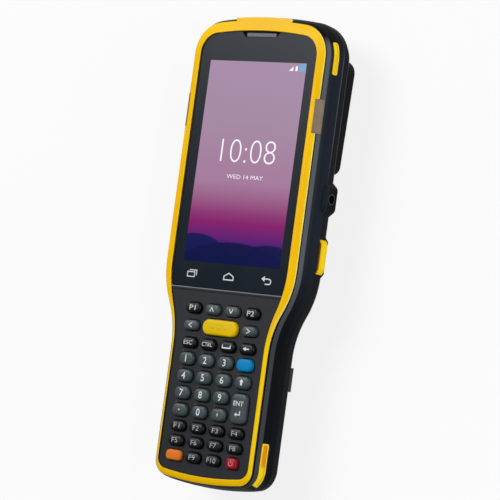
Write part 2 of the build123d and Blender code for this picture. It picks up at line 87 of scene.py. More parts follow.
def surfaceFacts(tree, place):   # the quantities that a band may be limited by
    axes = addNode(tree, "ShaderNodeSeparateXYZ", None, {"Vector": place}).outputs
    wide = addNode(tree, "ShaderNodeBevel", {"samples": bevelSamples, "Radius": facingRadius})
    facing = addNode(tree, "ShaderNodeSeparateXYZ", None, {"Vector": wide.outputs["Normal"]}).outputs
    side = addNode(tree, "ShaderNodeMath", {"operation": "ABSOLUTE"}, {0: axes["X"]})
    return {"x": axes["X"], "y": axes["Y"], "z": axes["Z"], "side": side.outputs["Value"],
            "facingX": facing["X"], "facingZ": facing["Z"]}


def bandMask(tree, limits):   # 1 where every quantity lies past its two limits, even between them
    mask = None
    for quantity, outside, inside in limits:
        ends = {"From Min": outside, "From Max": inside} if outside < inside else {
            "From Min": inside, "From Max": outside, "To Min": 1.0, "To Max": 0.0}
        part = addNode(tree, "ShaderNodeMapRange", ends, {"Value": quantity}).outputs["Result"]
        mask = part if mask is None else addNode(tree, "ShaderNodeMath", {"operation": "MULTIPLY"},
                                                 {0: mask, 1: part}).outputs["Value"]
    return mask


plasticBase = {"ior": 1.5, "glossSpread": 0.04, "bumpDepth": 0.2, "coat": 0.0, "coatRough": 0.2, "bands": []}


def mouldedPlastic(look):   # injection moulding: even colour, the mould's fine grain, slight gloss changes
    look = {**plasticBase, **look}
    material, tree = newTree(look["name"])
    place = addNode(tree, "ShaderNodeTexCoord").outputs["Object"]
    patches = addNode(tree, "ShaderNodeTexNoise", {"Scale": 1 / look["patches"], "Detail": 3.0},
                      {"Vector": place})
    colour = addNode(tree, "ShaderNodeValToRGB", {"stops": [(0.3, look["dark"]), (0.7, look["light"])]},
                     {"Fac": patches.outputs["Fac"]}).outputs["Color"]
    facts = surfaceFacts(tree, place) if look["bands"] else {}
    for tint, limits in look["bands"]:
        mask = bandMask(tree, [(facts[name], outside, inside) for name, outside, inside in limits])
        colour = addNode(tree, "ShaderNodeMix", {"data_type": "RGBA", 7: hexColour(tint)},
                         {0: mask, 6: colour}).outputs["Result"]
    gloss = addNode(tree, "ShaderNodeMapRange", {"To Min": look["rough"] - look["glossSpread"],
                                                 "To Max": look["rough"] + look["glossSpread"]},
                    {"Value": patches.outputs["Fac"]})
    grain = addNode(tree, "ShaderNodeTexNoise", {"Scale": 1 / look["grain"], "Detail": 2.0},
                    {"Vector": place})
    edge = addNode(tree, "ShaderNodeBevel", {"samples": bevelSamples, "Radius": look["edge"]})
    bump = addNode(tree, "ShaderNodeBump",
                   {"Strength": look["bump"], "Distance": look["grain"] * look["bumpDepth"]},
                   {"Height": grain.outputs["Fac"], "Normal": edge.outputs["Normal"]})
    shader = addNode(tree, "ShaderNodeBsdfPrincipled",
                     {"IOR": look["ior"], "Specular IOR Level": look["shine"], "Coat Weight": look["coat"],
                      "Coat Roughness": look["coatRough"]},
                     {"Base Color": colour, "Roughness": gloss.outputs["Result"],
                      "Normal": bump.outputs["Normal"]})
    addNode(tree, "ShaderNodeOutputMaterial", None, {"Surface": shader.outputs["BSDF"]})
    return material


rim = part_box("front_housing")[1].z
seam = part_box("rear_housing")[1].z
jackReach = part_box("headset_jack")[1].x
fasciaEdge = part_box("keypad_fascia")[1].y
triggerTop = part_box("trigger_right")[1].z - 0.6 * mm   # of the button, under its flange
# limits of the tint bands: a quantity, where the band is nought and where it is full
flank = ("side", 20 * mm, 28 * mm)
underTop = ("y", 98 * mm, 90 * mm)
underCorners = ("y", 100 * mm, 95 * mm)
strip = ("z", rim - 2.45 * mm, rim - 2.2 * mm)   # the chamfer beside the ring

keySurface = {"grain": 0.3 * mm, "patches": 8 * mm, "bump": 0.05, "edge": 0.2 * mm}
inkSurface = {"rough": 0.5, "shine": 0.3, "grain": 0.3 * mm, "patches": 6 * mm, "bump": 0.02,
              "edge": 0.02 * mm}
plasticLooks = {
    "housing": {   # PC/ABS shells from a spark-eroded mould: dull black, with painted sheen on the upper sides and a painted grey reflection on the chamfer beside the ring
        "name": "pcAbsShellBlack", "dark": "07090d", "light": "0b0d12", "rough": 0.55, "shine": 0.05,
        "grain": 0.35 * mm, "patches": 30 * mm, "bump": 0.12, "edge": 0.45 * mm,
        "bands": [
            # painted sheen: the front shell's side above the seam, lighter and bluer in its upper part
            ("1c222c", [("z", seam - 0.05 * mm, seam + 0.05 * mm), flank, ("y", -35 * mm, 0), underTop]),
            # painted sheen: the side facets under the chamfer, lighter and bluer in the upper part
            ("2a3038", [("z", rim - 4.6 * mm, rim - 2.4 * mm), flank, ("y", -20 * mm, 10 * mm), underTop]),
            ("4c535d", [("z", seam + 0.3 * mm, seam + 0.2 * mm), ("z", seam - 0.4 * mm, seam - 0.3 * mm),
                        flank, ("y", 30 * mm, 55 * mm), underTop]),   # painted highlight: a light line at the seam
            # painted reflection: the chamfer beside the ring grey
            ("3e4349", [strip, flank, underCorners]),
            # painted reflection: that chamfer lighter still beside the screen
            ("5a5f65", [strip, flank, underCorners, ("y", -40 * mm, -10 * mm)]),
            ("08090c", [("z", rim - 0.55 * mm, rim - 0.35 * mm), flank])]},   # painted shadow: a dark line along the ring's joint
    "ring": {   # PC/ABS frame, finely polished mould: clean yellow with a soft gloss, painted highlights on what faces right, painted shade on the inner wall
        "name": "pcAbsFrameYellow", "dark": "f4bc00", "light": "fbc600", "rough": 0.4, "shine": 0.06,
        "grain": 0.4 * mm, "patches": 40 * mm, "bump": 0.05, "edge": 0.15 * mm, "coat": 0.06,
        "coatRough": 0.14,
        "bands": [
            ("fff07c", [("facingX", 0.35, 0.5), ("z", rim + 0.9 * mm, rim + 0.6 * mm),
                        ("y", -45 * mm, -25 * mm)]),   # painted highlight: pale yellow low on what faces right, beside the screen
            ("fed408", [("facingX", 0.3, 0.5), ("y", -25 * mm, -45 * mm)]),   # painted highlight: the same beside the keypad, in a lighter yellow
            # painted shade: the inner wall dark brown
            ("1c1204", [("facingZ", 0.45, 0.2), ("z", rim + 0.4 * mm, rim + 0.55 * mm)])]},
    "fascia": {   # thin polycarbonate plate, mould textured: charcoal with an even satin, a painted highlight along its upper edge
        "name": "polycarbonateCharcoal", "dark": "14171d", "light": "191c23", "rough": 0.45, "shine": 0.25,
        "grain": 0.3 * mm, "patches": 25 * mm, "bump": 0.12, "edge": 0.2 * mm,
        # painted highlight: a pale line along the upper edge
        "bands": [("787c80", [("y", fasciaEdge - 0.45 * mm, fasciaEdge - 0.35 * mm)])]},
    # hard polycarbonate key caps, lacquered: a soft highlight runs round each rim
    "keyGrey": {**keySurface, "name": "lacqueredKeyGrey", "dark": "384146", "light": "404a4f",
                "rough": 0.34, "shine": 0.3},
    "keyDark": {**keySurface, "name": "lacqueredKeyBlack", "dark": "0c0e10", "light": "111315",
                "rough": 0.36, "shine": 0.24},
    # polycarbonate key caps, coloured through and moulded: bright and even, with a soft gloss
    "keyYellow": {**keySurface, "name": "polycarbonateKeyYellow", "dark": "dcb600", "light": "e4c000",
                  "rough": 0.38, "shine": 0.12},
    "keyBlue": {**keySurface, "name": "polycarbonateKeyBlue", "dark": "0078b0", "light": "0084c0",
                "rough": 0.36, "shine": 0.1},
    "keyOrange": {**keySurface, "name": "polycarbonateKeyOrange", "dark": "da7020", "light": "e27a28",
                  "rough": 0.36, "shine": 0.12},
    "keyRed": {**keySurface, "name": "polycarbonateKeyRed", "dark": "8c0c1c", "light": "9a1424",
               "rough": 0.36, "shine": 0.2},
    "trigger": {   # PC/ABS scan triggers: yellow, with painted shade in brown on the upper flank that the case shades
        "name": "pcAbsTriggerYellow", "dark": "fccc00", "light": "ffd600", "rough": 0.4, "shine": 0.1,
        "grain": 0.4 * mm, "patches": 12 * mm, "bump": 0.05, "edge": 0.1 * mm,
        # painted shade: the upper flank brown
        "bands": [("7c4a06", [("facingZ", 0.3, 0.55), ("z", triggerTop - 0.5 * mm, triggerTop - 0.3 * mm)])]},
    "battery": {   # PC/ABS battery case: a coarser spark grain than the shells
        "name": "pcAbsBatteryBlack", "dark": "0a0b0e", "light": "0e1014", "rough": 0.6, "shine": 0.05,
        "grain": 0.45 * mm, "patches": 25 * mm, "bump": 0.2, "edge": 0.5 * mm},
    "latch": {   # acetal, moulded: slightly waxy black
        "name": "acetalBlack", "dark": "0c0d10", "light": "121317", "rough": 0.36, "shine": 0.3,
        "grain": 0.35 * mm, "patches": 9 * mm, "bump": 0.1, "edge": 0.3 * mm},
    "jack": {   # elastomer surround pressed into its hole: matt grey face, black inside
        "name": "elastomerGrey", "dark": "2c3238", "light": "363c42", "rough": 0.65, "shine": 0.2,
        "grain": 0.25 * mm, "patches": 5 * mm, "bump": 0.1, "edge": 0.1 * mm,
        "bands": [("060708", [("x", jackReach - 0.1 * mm, jackReach - 0.3 * mm)])]},
    "innerBlack": {   # glass-filled nylon of the units inside: matt, a little mottled
        "name": "nylonBlack", "dark": "101113", "light": "17181a", "rough": 0.55, "shine": 0.3,
        "grain": 0.3 * mm, "patches": 9 * mm, "bump": 0.1, "edge": 0.1 * mm},
    "board": {   # epoxy board under green solder mask: glossy, with the weave just showing
        "name": "solderMaskGreen", "dark": "0c4426", "light": "115030", "rough": 0.4, "shine": 0.5,
        "grain": 0.5 * mm, "patches": 7 * mm, "bump": 0.1, "edge": 0.1 * mm},
    # pad-printed ink: flat colour, slightly uneven in cover
    "legend": {**inkSurface, "name": "padPrintWhite", "dark": "d8dddd", "light": "e2e6e6"},
    "dimLegend": {**inkSurface, "name": "padPrintGrey", "dark": "a9aeae", "light": "b4b9b9"},
    "orangeLegend": {**inkSurface, "name": "padPrintOrange", "dark": "7c4426", "light": "844a2a"},
    "redLegend": {**inkSurface, "name": "padPrintRose", "dark": "d8707c", "light": "e07c88"},
    "keySlotBlack": {   # painted shadow: a thin black frame laid on the fascia, showing as a dark line round each cap
        "name": "siliconeSheetBlack", "dark": "050506", "light": "08090a", "rough": 0.6, "shine": 0.1,
        "grain": 0.3 * mm, "patches": 9 * mm, "bump": 0.05, "edge": 0.02 * mm},
}
plastics = {key: mouldedPlastic(look) for key, look in plasticLooks.items()}

glossyLooks = {
    "coverGlass": {   # chemically hardened glass, printed black behind: near black, with an even soft gloss
        "name": "hardenedGlassBlack", "colour": "0a1622", "patch": 25 * mm, "detail": 2.0,
        "smoothest": 0.17, "roughest": 0.25, "sockets": {"IOR": 1.5, "Specular IOR Level": 0.2}},
    "scanGlass": {   # deep red acrylic, cast and polished, in front of the reading engine: sharp gloss
        "name": "redAcrylic", "colour": "1c0508", "patch": 6 * mm, "detail": 2.0,
        "smoothest": 0.05, "roughest": 0.14, "sockets": {"IOR": 1.49, "Coat Weight": 0.5}},
    "lensGlass": {   # coated optical glass, polished: near black with a faint violet cast
        "name": "coatedLensGlass", "colour": "0a0714", "patch": 3 * mm, "detail": 2.0,
        "smoothest": 0.04, "roughest": 0.1, "sockets": {"IOR": 1.6}},
    "castZinc": {   # die-cast zinc, left as cast: grey and dull
        "name": "castZinc", "colour": "8c8e92", "patch": 0.6 * mm, "detail": 4.0,
        "smoothest": 0.4, "roughest": 0.6, "sockets": {"Metallic": 1.0}},
    "screwZinc": {   # zinc plate on steel screws: bright, with fine tool marks
        "name": "zincPlate", "colour": "9a9ca0", "patch": 0.3 * mm, "detail": 4.0,
        "smoothest": 0.22, "roughest": 0.42, "sockets": {"Metallic": 1.0}},
    "contactGold": {   # gold plate on pressed contacts: bright, rubbed finely
        "name": "goldPlate", "colour": "d8b25c", "patch": 0.3 * mm, "detail": 4.0,
        "smoothest": 0.15, "roughest": 0.35, "sockets": {"Metallic": 1.0}},
}


def glossySurface(look):   # glass or metal: one colour, whose gloss changes finely from place to place
    material, tree = newTree(look["name"])
    place = addNode(tree, "ShaderNodeTexCoord").outputs["Object"]
    haze = addNode(tree, "ShaderNodeTexNoise", {"Scale": 1 / look["patch"], "Detail": look["detail"]},
                   {"Vector": place})
    gloss = addNode(tree, "ShaderNodeMapRange", {"To Min": look["smoothest"], "To Max": look["roughest"]},
                    {"Value": haze.outputs["Fac"]})
    shader = addNode(tree, "ShaderNodeBsdfPrincipled",
                     {"Base Color": hexColour(look["colour"]), **look["sockets"]},
                     {"Roughness": gloss.outputs["Result"]})
    addNode(tree, "ShaderNodeOutputMaterial", None, {"Surface": shader.outputs["BSDF"]})
    return material


glossy = {key: glossySurface(look) for key, look in glossyLooks.items()}

smokyLook = {"light": "8c755c", "dark": "7c6650", "cloud": 4 * mm, "rough": 0.35, "shine": 0.3, "ior": 1.58,
             "milky": 0.25, "depth": 0.5 * mm, "edge": 0.3 * mm}


def smokyWindow():   # tinted polycarbonate over a lamp, moulded clear: milky brown, glossy
    material, tree = newTree("smokyPolycarbonate")
    place = addNode(tree, "ShaderNodeTexCoord").outputs["Object"]
    cloud = addNode(tree, "ShaderNodeTexNoise", {"Scale": 1 / smokyLook["cloud"], "Detail": 2.0},
                    {"Vector": place})
    colour = addNode(tree, "ShaderNodeValToRGB",
                     {"stops": [(0.3, smokyLook["dark"]), (0.7, smokyLook["light"])]},
                     {"Fac": cloud.outputs["Fac"]})
    edge = addNode(tree, "ShaderNodeBevel", {"samples": bevelSamples, "Radius": smokyLook["edge"]})
    shader = addNode(tree, "ShaderNodeBsdfPrincipled",
                     {"IOR": smokyLook["ior"], "Roughness": smokyLook["rough"],
                      "Specular IOR Level": smokyLook["shine"], "Subsurface Weight": smokyLook["milky"],
                      "Subsurface Scale": smokyLook["depth"]},
                     {"Base Color": colour.outputs["Color"], "Normal": edge.outputs["Normal"]})
    addNode(tree, "ShaderNodeOutputMaterial", None, {"Surface": shader.outputs["BSDF"]})
    return material


inlayLook = {"rim": "ffdc14", "centre": "ee9200", "rough": 0.5, "shine": 0.1, "ior": 1.5, "edge": 0.15 * mm,
             "fade": 0.12 * mm, "lowerFade": 1 * mm, "upperFade": 0.5 * mm}
inlayCentres = [   # amber line of the lower and of the upper bars: height, half width and both ends
    {"height": 26.6 * mm, "half": 1.05 * mm, "low": -95.8 * mm, "high": -86.2 * mm, "share": 1.0},
    {"height": 25.4 * mm, "half": 0.28 * mm, "low": 83.5 * mm, "high": 92 * mm, "share": 0.5},
]


def twoShotInlay():   # two-shot rubber bar, moulded: yellow rim with an amber centre, matt
    material, tree = newTree("twoShotRubber")
    place = addNode(tree, "ShaderNodeTexCoord").outputs["Object"]
    axes = addNode(tree, "ShaderNodeSeparateXYZ", None, {"Vector": place}).outputs
    amber = None
    for line in inlayCentres:
        lift = addNode(tree, "ShaderNodeMath", {"operation": "SUBTRACT", 1: line["height"]}, {0: axes["Z"]})
        away = addNode(tree, "ShaderNodeMath", {"operation": "ABSOLUTE"}, {0: lift.outputs["Value"]})
        mask = bandMask(tree, [
            (away.outputs["Value"], line["half"] + inlayLook["fade"], line["half"] - inlayLook["fade"]),
            (axes["Y"], line["low"] - inlayLook["lowerFade"], line["low"] + inlayLook["lowerFade"]),
            (axes["Y"], line["high"] + inlayLook["upperFade"], line["high"])])
        amber = addNode(tree, "ShaderNodeMath", {"operation": "MULTIPLY_ADD", 1: line["share"], 2: 0.0},
                        {0: mask, 2: amber} if amber else {0: mask}).outputs["Value"]
    colour = addNode(tree, "ShaderNodeMix", {"data_type": "RGBA", 6: hexColour(inlayLook["rim"]),
                                             7: hexColour(inlayLook["centre"])}, {0: amber})
    edge = addNode(tree, "ShaderNodeBevel", {"samples": bevelSamples, "Radius": inlayLook["edge"]})
    shader = addNode(tree, "ShaderNodeBsdfPrincipled",
                     {"Roughness": inlayLook["rough"], "IOR": inlayLook["ior"],
                      "Specular IOR Level": inlayLook["shine"]},
                     {"Base Color": colour.outputs["Result"], "Normal": edge.outputs["Normal"]})
    addNode(tree, "ShaderNodeOutputMaterial", None, {"Surface": shader.outputs["BSDF"]})
    return material


finishes = {   # by the record's slots
    "housing_black": plastics["housing"], "ring_yellow": plastics["ring"],
    "cover_glass": glossy["coverGlass"], "display": plastics["innerBlack"],
    "fascia_grey": plastics["fascia"], "circuit_board": plastics["board"],
    "engine_metal": glossy["castZinc"], "scan_window": glossy["scanGlass"],
    "trigger_yellow": plastics["trigger"], "lamp_window": smokyWindow(),
    "inlay_amber": twoShotInlay(), "jack_rubber": plastics["jack"],
    "battery_black": plastics["battery"], "latch_black": plastics["latch"],
    "camera_black": plastics["innerBlack"], "speaker_black": plastics["innerBlack"],
    "screw_steel": glossy["screwZinc"], "contact_gold": glossy["contactGold"],
    "key_yellow": plastics["keyYellow"], "key_blue": plastics["keyBlue"],
    "key_orange": plastics["keyOrange"], "key_red": plastics["keyRed"],
    "key_grey": plastics["keyGrey"], "key_dark": plastics["keyDark"],
}
slotOf = {part["node"]: part["material_slot"] for part in frame["record"]["subparts"]}
bodyOf = {node: body for body, nodes in frame["record"]["behaviour"]["bodies"].items() for node in nodes}
for node, cadObject in frame["nodes"].items():
    for materialSlot in cadObject.material_slots:
        materialSlot.material = finishes[slotOf[node]]
print("finishes made:", len(finishes))

mergeDistance = 0.0001 * mm
cornerSteps = 7


def placePiece(name, mesh, material, body, replaced=()):
    mesh.materials.append(material)
    piece = bpy.data.objects.new(name, mesh)
    bpy.context.scene.collection.objects.link(piece)
    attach(piece, body)
    if replaced:
        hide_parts(*replaced)
    return piece


def finishPiece(name, bm, material, body, replaced=(), sharpAngle=40):
    bmesh.ops.remove_doubles(bm, verts=bm.verts, dist=mergeDistance)
    bmesh.ops.recalc_face_normals(bm, faces=bm.faces)
    mesh = bpy.data.meshes.new(name)
    bm.to_mesh(mesh)
    bm.free()
    mesh.shade_smooth()
    mesh.set_sharp_from_angle(angle=math.radians(sharpAngle))
    return placePiece(name, mesh, material, body, replaced)


def raiseFaces(bm, faces, rise):   # the faces go up, with walls under them
    raised = bmesh.ops.extrude_face_region(bm, geom=faces)["geom"]
    bmesh.ops.translate(bm, verts=[part for part in raised if isinstance(part, bmesh.types.BMVert)],
                        vec=(0, 0, rise))
    return [part for part in raised if isinstance(part, bmesh.types.BMFace)]


def roundedFace(bm, centre, width, height, corner, z):   # a flat face with round corners
    spot = Matrix.LocRotScale(Vector((centre.x, centre.y, z)), None, Vector((width, height, 1)))
    made = bmesh.ops.create_grid(bm, x_segments=1, y_segments=1, size=0.5, matrix=spot)
    rounded = bmesh.ops.bevel(bm, geom=made["verts"], offset=corner, offset_type="OFFSET",
                              segments=cornerSteps, profile=0.5, affect="VERTICES", material=-1)
    return rounded["verts"][0].link_faces[0]


def roundedSlab(bm, centre, width, height, corner, lowZ, highZ):
    return raiseFaces(bm, [roundedFace(bm, centre, width, height, corner, lowZ)], highZ - lowZ)[0]


def spunDome(bm, middle, radius, height, arcStep, steps):   # a quarter ellipse spun round, its foot closed
    arc = [bm.verts.new(middle + Vector((radius * math.cos(turn), 0, height * math.sin(turn))))
           for turn in [math.radians(angle) for angle in range(0, 91, arcStep)]]
    profile = [bm.edges.new(pair) for pair in zip(arc, arc[1:])]
    bmesh.ops.spin(bm, geom=arc + profile, cent=middle, axis=(0, 0, 1), angle=math.tau, steps=steps,
                   use_merge=True, use_duplicate=False)
    bmesh.ops.remove_doubles(bm, verts=bm.verts, dist=mergeDistance)
    bmesh.ops.holes_fill(bm, edges=[edge for edge in bm.edges if edge.is_boundary], sides=0)


softSettings = {"merge": 0.002 * mm, "flat": 0.3, "steps": 3}   # flat: degrees under which faces join


def softenedCopy(name, node, width, sharpest, wanted):   # the node's own form, with moulded edge radii
    bm = bmesh.new()
    source = frame["nodes"][node]
    bm.from_mesh(source.data)
    bm.transform(source.matrix_world)
    bmesh.ops.remove_doubles(bm, verts=bm.verts, dist=softSettings["merge"])
    bmesh.ops.dissolve_limit(bm, angle_limit=math.radians(softSettings["flat"]), verts=bm.verts,
                             edges=bm.edges)
    edges = [edge for edge in bm.edges if edge.calc_face_angle(0) > math.radians(sharpest)
             and all(wanted(vertex.co) for vertex in edge.verts)]
    bmesh.ops.bevel(bm, geom=edges, offset=width, offset_type="OFFSET", segments=softSettings["steps"],
                    profile=0.5, affect="EDGES", clamp_overlap=True, material=-1)
    return finishPiece(name, bm, finishes[slotOf[node]], bodyOf[node], [node])


ringEdge = {"width": 0.27 * mm, "sharpest": 50, "depth": 1.05 * mm}   # depth: how far down edges are rounded
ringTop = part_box("bezel_ring")[1].z
softenedCopy("ringMoulded", "bezel_ring", ringEdge["width"], ringEdge["sharpest"],
             lambda place: place.z > ringTop - ringEdge["depth"])
triggerEdge = {"width": 0.22 * mm, "sharpest": 15, "depth": 1.2 * mm}
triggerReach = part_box("trigger_right")[1].x
for side, node in ((1, "trigger_right"), (-1, "trigger_left")):
    softenedCopy(node.replace("_", "") + "Moulded", node, triggerEdge["width"], triggerEdge["sharpest"],
                 lambda place, side=side: side * place.x > triggerReach - triggerEdge["depth"])
print("softened copies done")

keySettings = {"flange": 0.4 * mm, "flangeThickness": 0.8 * mm, "flangeRound": 0.9, "edge": 1.0 * mm,
               "edgeSteps": 4, "crown": 0.03 * mm, "crownSteps": 2, "crownShare": 0.36, "sharp": 60,
               "corner": 2.2 * mm, "tallCorner": 2.6 * mm, "tall": 5.5 * mm, "endFlat": 0.12 * mm}
keyCorners = {"key_scan": 3.4 * mm, "key_power": 1.4 * mm, "key_orange": 2.0 * mm}   # unlike the others'
keyNodes = [node for node in frame["nodes"] if node.startswith("key_")]


def keyCorner(node):   # a cap's corner radius in plan
    low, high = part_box(node)
    height = high.y - low.y - 2 * keySettings["flange"]
    usual = keySettings["tallCorner" if height > keySettings["tall"] else "corner"]
    return min(keyCorners.get(node, usual), height / 2 - keySettings["endFlat"])


def keyCap(node):   # a soft-shouldered cap on its flange
    low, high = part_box(node)
    flange, edge, crown = keySettings["flange"], keySettings["edge"], keySettings["crown"]
    width = high.x - low.x - 2 * flange
    height = high.y - low.y - 2 * flange
    middle = (low + high) / 2
    corner = keyCorner(node)
    flangeTop = low.z + keySettings["flangeThickness"]
    bm = bmesh.new()
    top = roundedSlab(bm, middle, width, height, corner, flangeTop,
                      high.z - keySettings["crownSteps"] * crown)
    bmesh.ops.bevel(bm, geom=list(top.edges), offset=edge, offset_type="OFFSET",
                    segments=keySettings["edgeSteps"], profile=0.5, affect="EDGES", material=-1)
    top = max(bm.faces, key=lambda face: (round(face.calc_center_median().z, 7), face.calc_area()))
    for step in range(keySettings["crownSteps"]):   # shallow steps round the top off, inside its corners
        bmesh.ops.inset_individual(bm, faces=[top], thickness=keySettings["crownShare"] * (corner - edge),
                                   depth=crown)
    roundedSlab(bm, middle, width + 2 * flange, height + 2 * flange,
                corner + flange * keySettings["flangeRound"], low.z, flangeTop)
    return finishPiece("cap_" + node[4:], bm, finishes[slotOf[node]], bodyOf[node], [node],
                       keySettings["sharp"])


for node in keyNodes:
    keyCap(node)

barThickness = 0.4 * mm   # of the fascia's raised bar
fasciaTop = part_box("keypad_fascia")[1].z - barThickness
keyShadowFrame = {"gap": 0.2 * mm, "width": 0.34 * mm, "thickness": 0.04 * mm}
bm = bmesh.new()   # painted shadow: a black line around each key's opening
for node in keyNodes:
    low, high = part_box(node)
    reach = keyShadowFrame["gap"] + keyShadowFrame["width"]
    grown = high - low + Vector((1, 1, 0)) * 2 * (reach - keySettings["flange"])
    opening = roundedFace(bm, (low + high) / 2, grown.x, grown.y, keyCorner(node) + reach, fasciaTop)
    frameFaces = bmesh.ops.inset_individual(bm, faces=[opening], thickness=keyShadowFrame["width"])["faces"]
    bmesh.ops.delete(bm, geom=[opening], context="FACES")
    raiseFaces(bm, frameFaces, keyShadowFrame["thickness"])
finishPiece("keySlotLines", bm, plastics["keySlotBlack"], "case")

bumps = {"spacing": 3.7 * mm, "radius": 0.75 * mm, "height": 0.2 * mm, "sink": 0.02 * mm, "arcStep": 15,
         "steps": 20}
low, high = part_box("key_scan")
bm = bmesh.new()   # three low domes on the scan key
for step in (-1, 0, 1):
    spunDome(bm, Vector((step * bumps["spacing"], (low.y + high.y) / 2, high.z - bumps["sink"])),
             bumps["radius"], bumps["height"], bumps["arcStep"], bumps["steps"])
finishPiece("scanKeyBumps", bm, finishes["key_yellow"], bodyOf["key_scan"])
print("key caps:", len(keyNodes))

printDepth = 0.04 * mm
letterThickness = 0.04   # in the font's own units, before a word is scaled
letterRounding = 6


def textPiece(name, words, centre, look, body="case"):
    curve = bpy.data.curves.new(name, "FONT")   # flat printed words, sized by their own height and width
    curve.body = words
    curve.offset = look.get("weight", 0.0)
    curve.extrude = letterThickness / 2
    curve.resolution_u = letterRounding
    holder = bpy.data.objects.new(name, curve)
    mesh = bpy.data.meshes.new_from_object(holder)
    bpy.data.objects.remove(holder)
    xs = [vertex.co.x for vertex in mesh.vertices]
    ys = [vertex.co.y for vertex in mesh.vertices]
    scaleY = look["height"] / (max(ys) - min(ys))
    scaleX = look["width"] / (max(xs) - min(xs)) if "width" in look else scaleY
    mesh.transform(Matrix.Translation((-(max(xs) + min(xs)) / 2, -(max(ys) + min(ys)) / 2, 0)))
    mesh.transform(Matrix.Diagonal((scaleX, scaleY, look.get("depth", printDepth) / letterThickness, 1)))
    mesh.transform(Matrix.Translation(centre) @ Matrix.Rotation(math.radians(look.get("turn", 0)), 4, "Z"))
    mesh.materials.clear()
    return placePiece(name, mesh, look.get("ink", plastics["legend"]), body)


def signPiece(name, shapes, centre, ink=plastics["legend"], body="case"):
    bm = bmesh.new()   # flat printed signs, each from its corner points in millimetres
    for points in shapes:
        corners = [bm.verts.new((centre.x + x * mm, centre.y + y * mm, centre.z - printDepth / 2))
                   for x, y in points]
        raiseFaces(bm, [bm.faces.new(corners)], printDepth)
    return finishPiece(name, bm, ink, body)


def keyTop(node):
    low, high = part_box(node)
    return Vector(((low.x + high.x) / 2, (low.y + high.y) / 2, high.z))


digitLegend = {"height": 3.2 * mm, "weight": 0.008}
for digit in "0123456789":
    node = "key_" + digit
    textPiece("legend_" + digit, digit, keyTop(node), digitLegend, bodyOf[node])

functionLegend = {"height": 2.2 * mm, "width": 3.4 * mm, "weight": -0.004, "ink": plastics["dimLegend"]}
for number in range(1, 11):
    node = "key_f%d" % number
    look = {**functionLegend, "width": 5.1 * mm} if number == 10 else functionLegend
    textPiece("legend_f%d" % number, "F%d" % number, keyTop(node), look, bodyOf[node])

wordLegends = {
    "key_esc": ("ESC", {"height": 1.85 * mm, "width": 5.0 * mm, "weight": -0.004}),
    "key_ctrl": ("CTRL", {"height": 1.85 * mm, "width": 5.9 * mm, "weight": -0.004}),
    "key_p1": ("P1", {"height": 2.3 * mm, "width": 3.4 * mm, "weight": -0.004}),
    "key_p2": ("P2", {"height": 2.3 * mm, "width": 3.9 * mm, "weight": -0.004}),
}
for node, (words, look) in wordLegends.items():
    textPiece("legend_" + node[4:], words, keyTop(node), look, bodyOf[node])

arrowLegend = {"height": 2.5 * mm, "width": 2.0 * mm, "weight": 0.003}
for node, turn in (("key_left", 0), ("key_up", -90), ("key_right", 180), ("key_down", 90)):
    textPiece("legend_" + node[4:], "<", keyTop(node), {**arrowLegend, "turn": turn}, bodyOf[node])

enterLegend = {"height": 2.1 * mm, "width": 5.7 * mm, "weight": 0.006, "up": 2.4 * mm}
textPiece("legend_enter", "ENT", keyTop("key_enter") + Vector((0, enterLegend["up"], 0)), enterLegend,
          bodyOf["key_enter"])

powerSign = {"outer": 1.3, "inner": 0.95, "start": -230, "end": 50, "steps": 24, "barHalf": 0.18,
             "barLow": 0.1, "barHigh": 1.6}   # an open ring and a bar, in millimetres and degrees


def arcPoints(radius, start, end):
    turns = [math.radians(start + (end - start) * step / powerSign["steps"])
             for step in range(powerSign["steps"] + 1)]
    return [(radius * math.cos(turn), radius * math.sin(turn)) for turn in turns]


half, barLow, barHigh = powerSign["barHalf"], powerSign["barLow"], powerSign["barHigh"]
signPiece("sign_power", [arcPoints(powerSign["outer"], powerSign["start"], powerSign["end"])
                         + arcPoints(powerSign["inner"], powerSign["end"], powerSign["start"]),
                         [(-half, barLow), (half, barLow), (half, barHigh), (-half, barHigh)]],
          keyTop("key_power"), plastics["redLegend"], bodyOf["key_power"])

smallLetter = {"height": 0.85 * mm, "right": 1.1 * mm, "up": 0.15 * mm, "proud": 0.02 * mm,
               "ink": plastics["orangeLegend"]}   # second functions, beside each key's upper left corner
letterNodes = ["key_1", "key_2", "key_3", "key_blue", "key_4", "key_5", "key_6", "key_shift", "key_7",
               "key_8", "key_9", "key_dot", "key_0", "key_comma"]
for letter, node in zip("ABCDEFGHJKLMNP", letterNodes):
    low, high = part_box(node)
    spot = Vector((low.x + smallLetter["right"], high.y + smallLetter["up"],
                   fasciaTop + smallLetter["proud"]))
    textPiece("printed_" + letter, letter, spot, smallLetter)

keySigns = {   # corner points in millimetres from each key's centre
    "key_enter": [[(1.1, -0.9), (1.6, -0.9), (1.6, -2.9), (-0.4, -2.9), (-0.4, -2.4), (1.1, -2.4)],
                  [(-0.4, -1.7), (-0.4, -3.6), (-1.6, -2.65)]],
    "key_space": [[(-2.5, 0.8), (-2.0, 0.8), (-2.0, -0.3), (2.0, -0.3), (2.0, 0.8), (2.5, 0.8), (2.5, -0.9),
                   (-2.5, -0.9)]],
    "key_backspace": [[(1.8, 0.3), (0.0, 0.3), (0.0, 0.95), (-1.8, 0.0), (0.0, -0.95), (0.0, -0.3),
                       (1.8, -0.3)]],
    "key_shift": [[(0.0, 1.7), (-1.25, 0.3), (-0.55, 0.3), (-0.55, -1.2), (0.55, -1.2), (0.55, 0.3),
                   (1.25, 0.3)]],
    "key_dot": [[(-0.35, -0.35), (0.35, -0.35), (0.35, 0.35), (-0.35, 0.35)]],
    "key_comma": [[(-0.25, 0.6), (0.3, 0.6), (0.3, -0.2), (-0.1, -0.8), (-0.35, -0.7), (-0.05, -0.1),
                   (-0.25, -0.1)]],
}
for node, shapes in keySigns.items():
    signPiece("sign_" + node[4:], shapes, keyTop(node), body=bodyOf[node])
print("legends done")

